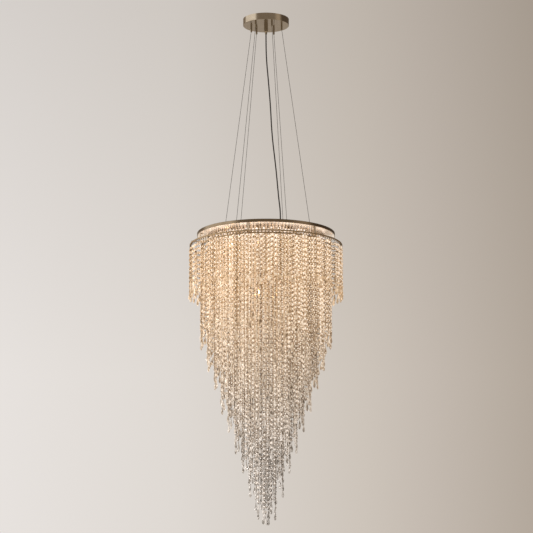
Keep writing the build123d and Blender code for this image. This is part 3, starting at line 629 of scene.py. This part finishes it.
def strandTree(name, pattern):
    # Points along every strand of a ring, with a crystal, link, hook or drop on each. The pattern is
    # what each strand in turn has more or fewer than the ring's number of crystals.
    tree = bpy.data.node_groups.new(name, "GeometryNodeTree")
    sockets = [(socketName, "NodeSocketFloat") for socketName in (
        "Radius", "Top", "Pitch", "Hook", "Tilt", "Twist", "Wander", "Stagger")]
    sockets += [(socketName, "NodeSocketInt") for socketName in ("Strands", "Crystals", "Seed")]
    sockets += [(kind + " shape", "NodeSocketObject") for kind in kinds]
    sockets += [(kind + " finish", "NodeSocketMaterial") for kind in kinds]
    for socketName, socketKind in sockets:
        tree.interface.new_socket(socketName, in_out="INPUT", socket_type=socketKind)
    tree.interface.new_socket("Geometry", in_out="OUTPUT", socket_type="NodeSocketGeometry")
    given = addNode(tree, "NodeGroupInput").outputs
    index = addNode(tree, "GeometryNodeInputIndex").outputs[0]

    def combine(x, y, z):
        return addNode(tree, "ShaderNodeCombineXYZ", {"X": x, "Y": y, "Z": z}).outputs[0]

    def randomVector(**sources):
        return addNode(tree, "FunctionNodeRandomValue", {0: (-1, -1, -1), 1: (1, 1, 1), **sources},
                       data_type="FLOAT_VECTOR").outputs[0]

    def strandLength(strand):
        turn = mathNode(tree, "MODULO", strand, float(len(pattern)))
        choice = addNode(tree, "GeometryNodeIndexSwitch", data_type="INT")
        while len(choice.index_switch_items) < len(pattern):
            choice.index_switch_items.new()
        tree.links.new(turn, choice.inputs[0])
        for place, change in enumerate(pattern):
            choice.inputs[1 + place].default_value = change
        return mathNode(tree, "ADD", given["Crystals"], choice.outputs[0])

    def ringPoints(kind, perStrand):
        # links go above and below every crystal of a strand, and a drop below the last; a hook stays at
        # its level when the strand below it is shifted up or down
        firstDepth, seedShift = kinds[kind]
        total = mathNode(tree, "MULTIPLY", given["Strands"], perStrand)
        points = addNode(tree, "GeometryNodePoints", {"Count": total}).outputs[0]
        strand = mathNode(tree, "DIVIDE", mathNode(tree, "ADD", index, 0.5), perStrand)
        strand = mathNode(tree, "FLOOR", strand)
        place = mathNode(tree, "SUBTRACT", index, mathNode(tree, "MULTIPLY", strand, perStrand))
        length = strandLength(strand)
        angle = mathNode(tree, "DIVIDE", mathNode(tree, "MULTIPLY", strand, 2 * math.pi), given["Strands"])
        steps = length if kind == "Drop" else mathNode(tree, "ADD", place, firstDepth)
        depth = mathNode(tree, "ADD", given["Hook"], mathNode(tree, "MULTIPLY", steps, given["Pitch"]))
        position = combine(mathNode(tree, "MULTIPLY", given["Radius"], mathNode(tree, "COSINE", angle)),
                           mathNode(tree, "MULTIPLY", given["Radius"], mathNode(tree, "SINE", angle)),
                           mathNode(tree, "SUBTRACT", given["Top"], depth))
        reach = combine(given["Wander"], given["Wander"], 0.0 if kind == "Hook" else given["Stagger"])
        drift = vectorNode(tree, "MULTIPLY", randomVector(ID=strand, Seed=given["Seed"]), reach)
        placed = addNode(tree, "GeometryNodeSetPosition", {
            "Geometry": points, "Position": vectorNode(tree, "ADD", position, drift)}).outputs[0]
        if kind != "Drop":
            limit = mathNode(tree, "SUBTRACT", length, -0.5 if kind == "Link" else 0.5)
            gone = addNode(tree, "FunctionNodeCompare", {0: place, 1: limit},
                           operation="GREATER_THAN").outputs[0]
            placed = addNode(tree, "GeometryNodeDeleteGeometry", {
                "Geometry": placed, "Selection": gone}).outputs[0]
        spin = randomVector(Seed=mathNode(tree, "ADD", given["Seed"], seedShift))
        turn = vectorNode(tree, "MULTIPLY", spin, combine(given["Tilt"], given["Tilt"], given["Twist"]))
        shape = addNode(tree, "GeometryNodeObjectInfo", {
            "Object": given[kind + " shape"]}).outputs["Geometry"]
        copies = addNode(tree, "GeometryNodeInstanceOnPoints", {
            "Points": placed, "Instance": shape,
            "Rotation": vectorNode(tree, "ADD", turn, combine(0.0, 0.0, angle))}).outputs[0]
        real = addNode(tree, "GeometryNodeRealizeInstances", {"Geometry": copies}).outputs[0]
        return addNode(tree, "GeometryNodeSetMaterial", {
            "Geometry": real, "Material": given[kind + " finish"]}).outputs[0]

    longest = mathNode(tree, "ADD", given["Crystals"], float(max(pattern)))
    joined = addNode(tree, "GeometryNodeJoinGeometry")
    for branch in (
            ringPoints("Crystal", longest),
            ringPoints("Link", mathNode(tree, "ADD", longest, 1.0)),
            ringPoints("Hook", 1.0),
            ringPoints("Drop", 1.0)):
        tree.links.new(branch, joined.inputs[0])
    addNode(tree, "NodeGroupOutput", {"Geometry": joined.outputs[0]})
    return tree


def setInputs(modifier, values):
    identifiers = {item.name: item.identifier for item in modifier.node_group.interface.items_tree
                   if item.in_out == "INPUT"}
    for name, value in values.items():
        modifier[identifiers[name]] = value


ringTrees = {name: strandTree(name + "Strands", pattern) for name, pattern in patterns.items()}
shapes = {name: addObject(name, outward(mesh)) for name, mesh in (
    ("crystalShape", beadMesh(bead)), ("linkShape", linkMesh(link)), ("hookShape", linkMesh(hook)),
    ("dropShape", dropMesh(drop)))}


def makeRing(name, node, body, ringKind, radius, top, crystals, seed, settings, withDrop=True):
    carrier = addObject(name + "Carrier", bpy.data.meshes.new(name + "Carrier"))
    modifier = carrier.modifiers.new("strands", "NODES")
    modifier.node_group = ringTrees[ringKind]
    group = len(patterns[ringKind])
    count = max(1, round(2 * math.pi * radius / (group * settings["spacing"]))) * group
    setInputs(modifier, {
        "Radius": radius, "Top": top, "Strands": count, "Crystals": crystals, "Seed": seed,
        "Pitch": settings["pitch"], "Hook": settings["hook"],
        "Tilt": settings["tilt"], "Twist": settings["twist"],
        "Wander": settings["wander"], "Stagger": settings["stagger"] if withDrop else 0.0,
        "Crystal shape": shapes["crystalShape"], "Crystal finish": finishes["crystal"],
        "Link shape": shapes["linkShape"], "Link finish": finishes["linkSteel"],
        "Hook shape": shapes["hookShape"], "Hook finish": finishes["linkSteel"],
        "Drop shape": shapes["dropShape"] if withDrop else None, "Drop finish": finishes["dropCrystal"]})
    bpy.context.view_layer.update()
    evaluated = carrier.evaluated_get(bpy.context.evaluated_depsgraph_get())
    mesh = bpy.data.meshes.new_from_object(evaluated)
    bpy.data.objects.remove(carrier)
    mesh.name = name
    piece = addObject(name, mesh)
    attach(piece, body)
    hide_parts(node)
    return sum(len(p.vertices) - 2 for p in mesh.polygons)


def makeStrands(settings):
    # the hoop's strands and the first tier hang from the hoops, every other tier from the plate
    total = makeRing("hoop_crystals", "hoop_strands", "light", "hoop", settings["hoopRadius"],
                     hoopUnderside, settings["hoopCrystals"], settings["hoopSeed"], settings)
    radii = [settings["outerRadius"] - settings["tierPitch"] * k for k in range(settings["tierCount"])]
    for number, radius in enumerate(radii + [settings["innerRadius"]], start=1):
        top = hoopUnderside if number == 1 else plateUnderside
        freeLength = top - settings["tip"] - settings["slope"] * radius - settings["hook"] - drop["length"]
        total += makeRing(f"tier_{number}_crystals", f"strand_tier_{number}", "light",
                          "inner" if radius == settings["innerRadius"] else "tier", radius, top,
                          round(freeLength / settings["pitch"]), settings["tierSeed"] + number, settings)
    total += makeRing("centre_crystals", "centre_strand", "centre_strand", "centre", 0.0,
                      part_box("centre_strand")[1][2], settings["centreCrystals"], settings["centreSeed"],
                      settings, withDrop=False)
    print("strand triangles:", total)


makeStrands(strands)


def makeLowestDrop():
    mesh = shapes["dropShape"].data.copy()
    mesh.transform(Matrix.Translation((0, 0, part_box("lowest_drop")[1][2])))
    piece = addObject("lowest_drop_crystal", mesh)
    dress(piece, "dropCrystal")
    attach(piece, "lowest_drop")
    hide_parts("lowest_drop")


makeLowestDrop()
for shape in shapes.values():
    bpy.data.objects.remove(shape)
print("strands made")


# ---- stage and light
stageSettings = {
    "floorHeight": -4.4, "floorSize": 60.0, "floorColour": "DAD4CD", "floorShade": 0.94,
    "floorRoughness": 0.7, "floorScale": 3.0, "floorDetail": 6.0, "mirroredFloor": "CFC5B8",
    # the backdrop's stops paint it lighter at the left and darker to the right, a painted light falloff;
    # shadedTop is painted shade at the top
    "backdrop": [(0.0, "E7E2DE"), (0.33, "DFD9D3"), (0.68, "CDC4BA"), (0.8, "C4BAB0"), (1.0, "B3A89C")],
    "spread": 0.104, "shadedTop": "ECEBEA", "shadedFrom": 0.16, "shadedTo": 0.30, "lightStrength": 0.75,
    # what shiny parts mirror, by compass turn from behind, past the left, the front and the right
    "mirrored": [(0.0, "8E8172"), (0.14, "8E8172"), (0.17, "FFF9F0"), (0.345, "FFF9F0"), (0.37, "8A7F71"),
                 (0.62, "8A7F71"), (0.66, "B5A795"), (0.70, "B5A795"), (0.74, "5E5347"), (1.0, "5E5347")],
    "mirroredStrength": 1.0,
}


def makeFloor(settings):
    half, height = settings["floorSize"] / 2, settings["floorHeight"]
    mesh = meshFrom("floor", [(x * half, y * half, height) for x, y in ((-1, -1), (1, -1), (1, 1), (-1, 1))],
                    [(0, 1, 2, 3)])
    floor = addObject("floor", mesh)
    material, tree, surface, place = newMaterial("floorPaint")
    grain = noiseNode(tree, place, settings["floorScale"], settings["floorDetail"])
    colour = linear(settings["floorColour"])
    shade = (*(v * settings["floorShade"] for v in colour[:3]), 1.0)
    plug(tree, surface, colour=mixColour(tree, grain, shade, colour), roughness=settings["floorRoughness"])
    pale = addNode(tree, "ShaderNodeEmission", {"Color": linear(settings["mirroredFloor"])}).outputs[0]
    isGlossy = addNode(tree, "ShaderNodeLightPath").outputs["Is Glossy Ray"]
    behind = addNode(tree, "ShaderNodeNewGeometry").outputs["Backfacing"]
    clear = addNode(tree, "ShaderNodeBsdfTransparent").outputs[0]
    # mirrored as a pale glow, and clear from below
    oneSided = mixShader(tree, behind, mixShader(tree, isGlossy, surface.outputs[0], pale), clear)
    output = next(n for n in tree.nodes if n.type == "OUTPUT_MATERIAL")
    tree.links.new(oneSided, output.inputs["Surface"])
    floor.data.materials.append(material)


def makeWorld(settings):
    # one backdrop as the camera sees it, painted lighter at the left and darker to the right, with painted
    # shade at the top, the same one as light, and a bright pane for shiny parts to mirror
    world = bpy.data.worlds.new("studio")
    scene.world = world
    world.use_nodes = True
    tree = world.node_tree
    tree.nodes.clear()
    direction = addNode(tree, "ShaderNodeTexCoord").outputs["Generated"]
    parts = addNode(tree, "ShaderNodeSeparateXYZ", {"Vector": direction}).outputs
    sides = rampNode(tree, mapRange(tree, parts["X"], (-settings["spread"], settings["spread"])),
                     settings["backdrop"])
    upward = mapRange(tree, parts["Z"], (settings["shadedFrom"], settings["shadedTo"]))
    shade = mixColour(tree, upward, linear("FFFFFF"), linear(settings["shadedTop"]))
    backdrop = mixColour(tree, 1.0, sides, shade, "MULTIPLY")
    turn = mathNode(tree, "ARCTAN2", parts["X"], mathNode(tree, "MULTIPLY", parts["Y"], -1.0))
    place = mathNode(tree, "MULTIPLY_ADD", turn, 0.5 / math.pi, 0.5)
    mirrored = rampNode(tree, place, settings["mirrored"])
    seen, lighting, reflection = (
        addNode(tree, "ShaderNodeBackground", {"Color": colour, "Strength": strength}).outputs[0]
        for colour, strength in ((backdrop, 1.0), (backdrop, settings["lightStrength"]),
                                 (mirrored, settings["mirroredStrength"])))
    paths = addNode(tree, "ShaderNodeLightPath").outputs
    direct = mathNode(tree, "ADD", paths["Is Camera Ray"], paths["Is Transmission Ray"], clamp=True)
    indirect = mixShader(tree, paths["Is Glossy Ray"], lighting, reflection)
    output = addNode(tree, "ShaderNodeOutputWorld")
    tree.links.new(mixShader(tree, direct, indirect, seen), output.inputs["Surface"])


lamps = {
    "leftSoftbox": {"place": (-4.6, -0.5, -0.9), "aim": (0, 0, -1.1), "size": 3.4, "power": 170,
                    "colour": "FFF8F0"},
    "frontSoftbox": {"place": (-1.2, -6.5, 1.6), "aim": (0, 0, -1.2), "size": 3.0, "power": 90,
                     "colour": "FFF8F0"},
}


def makeLamps(settings):
    for name, lamp in settings.items():
        data = bpy.data.lights.new(name, "AREA")
        data.size = lamp["size"]
        data.energy = lamp["power"]
        data.color = linear(lamp["colour"])[:3]
        piece = addObject(name, data)
        piece.visible_glossy = False  # shiny parts mirror the world's bright pane instead
        piece.location = lamp["place"]
        toward = Vector(lamp["aim"]) - Vector(lamp["place"])
        piece.rotation_euler = toward.to_track_quat("-Z", "Y").to_euler()


makeFloor(stageSettings)
makeWorld(stageSettings)
makeLamps(lamps)
print("stage lit")
